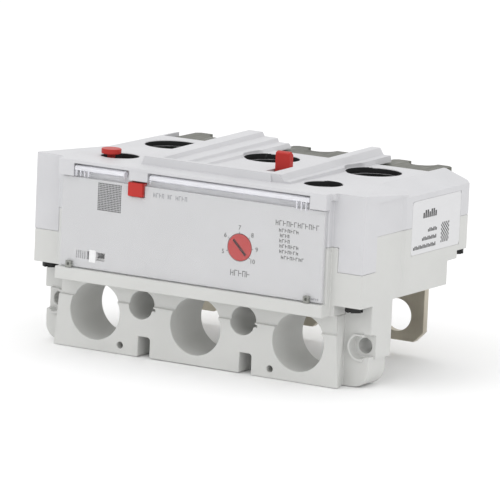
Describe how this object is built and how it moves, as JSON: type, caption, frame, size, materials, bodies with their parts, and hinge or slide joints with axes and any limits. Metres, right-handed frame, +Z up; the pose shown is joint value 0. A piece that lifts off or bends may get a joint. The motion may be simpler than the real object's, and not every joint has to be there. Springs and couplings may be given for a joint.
{
  "type": "molded case breaker trip unit",
  "caption": "Plug-in thermal-magnetic trip unit for a multi-pole molded case breaker, with a clear hinged cover, setting dial, trip button and bus terminals.",
  "frame": {"origin": "middle of the whole unit's base, at the height of the skirt's lower edge", "axes": "+X across the poles to the right as the front face is seen, +Y from the front face to the rear, +Z up towards the line terminals' deck"},
  "size_m": [0.1392, 0.0966, 0.078],
  "materials": {
    "housing_white": "fine moulded texture",
    "cover_white": "fine moulded texture",
    "faceplate_grey": "smooth satin",
    "clear_plastic": "clear moulded polycarbonate",
    "steel": "zinc plated",
    "black_steel": "black oxide",
    "label_paper": "satin sticker",
    "red_plastic": "satin",
    "black_plastic": "matte",
    "slider_white": "satin",
    "line_plate": "dull tin plate on copper",
    "load_plate": "tin plate on copper",
    "heater_alloy": "copper alloy strip",
    "bimetal_strip": "rolled strip",
    "magnet_steel": "oiled steel",
    "brass": "brass"
  },
  "bodies": {
    "housing": {"terminal_skirt": "housing_white", "lower_housing": "housing_white", "upper_cover": "cover_white", "faceplate": "faceplate_grey", "cover_hinge_pins": "steel", "seal_posts": "clear_plastic", "side_label": "label_paper", "trip_bar_spring": "steel", "plunger_spring": "steel", "line_terminal_left": "line_plate", "line_terminal_middle": "line_plate", "line_terminal_right": "line_plate", "load_terminal_left": "load_plate", "load_terminal_middle": "load_plate", "load_terminal_right": "load_plate", "heater_left": "heater_alloy", "heater_middle": "heater_alloy", "heater_right": "heater_alloy", "bimetal_left": "bimetal_strip", "bimetal_middle": "bimetal_strip", "bimetal_right": "bimetal_strip", "calibration_screw_left": "brass", "calibration_screw_middle": "brass", "calibration_screw_right": "brass", "magnet_yoke_left": "magnet_steel", "magnet_yoke_middle": "magnet_steel", "magnet_yoke_right": "magnet_steel", "armature_pin_left": "steel", "armature_pin_middle": "steel", "armature_pin_right": "steel", "access_sleeve_left": "black_plastic", "access_sleeve_middle": "black_plastic", "access_sleeve_right": "black_plastic", "sight_cup_left": "black_plastic", "sight_cup_middle": "black_plastic", "sight_cup_right": "black_plastic", "terminal_screws": "black_steel", "terminal_nuts": "steel", "heater_rivets": "brass", "front_cover_screws": "black_steel", "rear_cover_screws": "black_steel"},
    "clear_cover": {"clear_cover": "clear_plastic"},
    "push_button": {"push_to_trip_button": "red_plastic", "button_spring": "steel"},
    "trip_bar": {"trip_bar": "black_plastic", "trip_lever": "red_plastic"},
    "setting_dial": {"setting_dial": "red_plastic", "dial_cam": "black_plastic"},
    "adjusting_bar": {"adjusting_bar": "black_plastic", "armature_spring_left": "steel", "armature_spring_middle": "steel", "armature_spring_right": "steel"},
    "indicator": {"indicator_slider": "slider_white", "slider_clip": "steel"},
    "interlock_plunger": {"interlock_plunger": "red_plastic"},
    "armature_left": {"armature_left": "magnet_steel"},
    "armature_middle": {"armature_middle": "magnet_steel"},
    "armature_right": {"armature_right": "magnet_steel"}
  },
  "joints": [
    {"name": "cover_hinge", "type": "hinge", "parent": "housing", "child": "clear_cover", "pos_m": [0, -0.04695, 0.0679], "axis": [-1, 0, 0], "range_deg": [0, 100]},
    {"name": "button_slide", "type": "slide", "parent": "housing", "child": "push_button", "axis": [0, 1, 0], "range_m": [0, 0.002], "stiffness_N_per_m": 400, "springref_m": -0.002},
    {"name": "trip_bar_hinge", "type": "hinge", "parent": "housing", "child": "trip_bar", "pos_m": [0, -0.01075, 0.06], "axis": [1, 0, 0], "range_deg": [0, 18]},
    {"name": "dial_hinge", "type": "hinge", "parent": "housing", "child": "setting_dial", "pos_m": [0.0208, -0.04575, 0.0472], "axis": [0, 1, 0], "range_deg": [-45, 180]},
    {"name": "adjusting_slide", "type": "slide", "parent": "housing", "child": "adjusting_bar", "axis": [1, 0, 0], "range_m": [-0.0011, 0.0041]},
    {"name": "indicator_slide", "type": "slide", "parent": "housing", "child": "indicator", "axis": [1, 0, 0], "range_m": [-0.001, 0.0036]},
    {"name": "plunger_slide", "type": "slide", "parent": "housing", "child": "interlock_plunger", "axis": [0, 0, -1], "range_m": [0, 0.0009], "stiffness_N_per_m": 300, "springref_m": -0.002, "deforming": ["plunger_spring"]},
    {"name": "armature_hinge_left", "type": "hinge", "parent": "housing", "child": "armature_left", "pos_m": [-0.0433, -0.01395, 0.0442], "axis": [-1, 0, 0], "range_deg": [0, 4.5], "stiffness_Nm_per_rad": 0.02, "springref_deg": -5.73},
    {"name": "armature_hinge_middle", "type": "hinge", "parent": "housing", "child": "armature_middle", "pos_m": [0, -0.01395, 0.0442], "axis": [-1, 0, 0], "range_deg": [0, 4.5], "stiffness_Nm_per_rad": 0.02, "springref_deg": -5.73},
    {"name": "armature_hinge_right", "type": "hinge", "parent": "housing", "child": "armature_right", "pos_m": [0.0433, -0.01395, 0.0442], "axis": [-1, 0, 0], "range_deg": [0, 4.5], "stiffness_Nm_per_rad": 0.02, "springref_deg": -5.73}
  ],
  "couplings": [
    {"joint": "trip_bar_hinge", "follows": "button_slide", "rad_per_m": 153.85},
    {"joint": "adjusting_slide", "follows": "dial_hinge", "m_per_rad": 0.0012732}
  ]
}
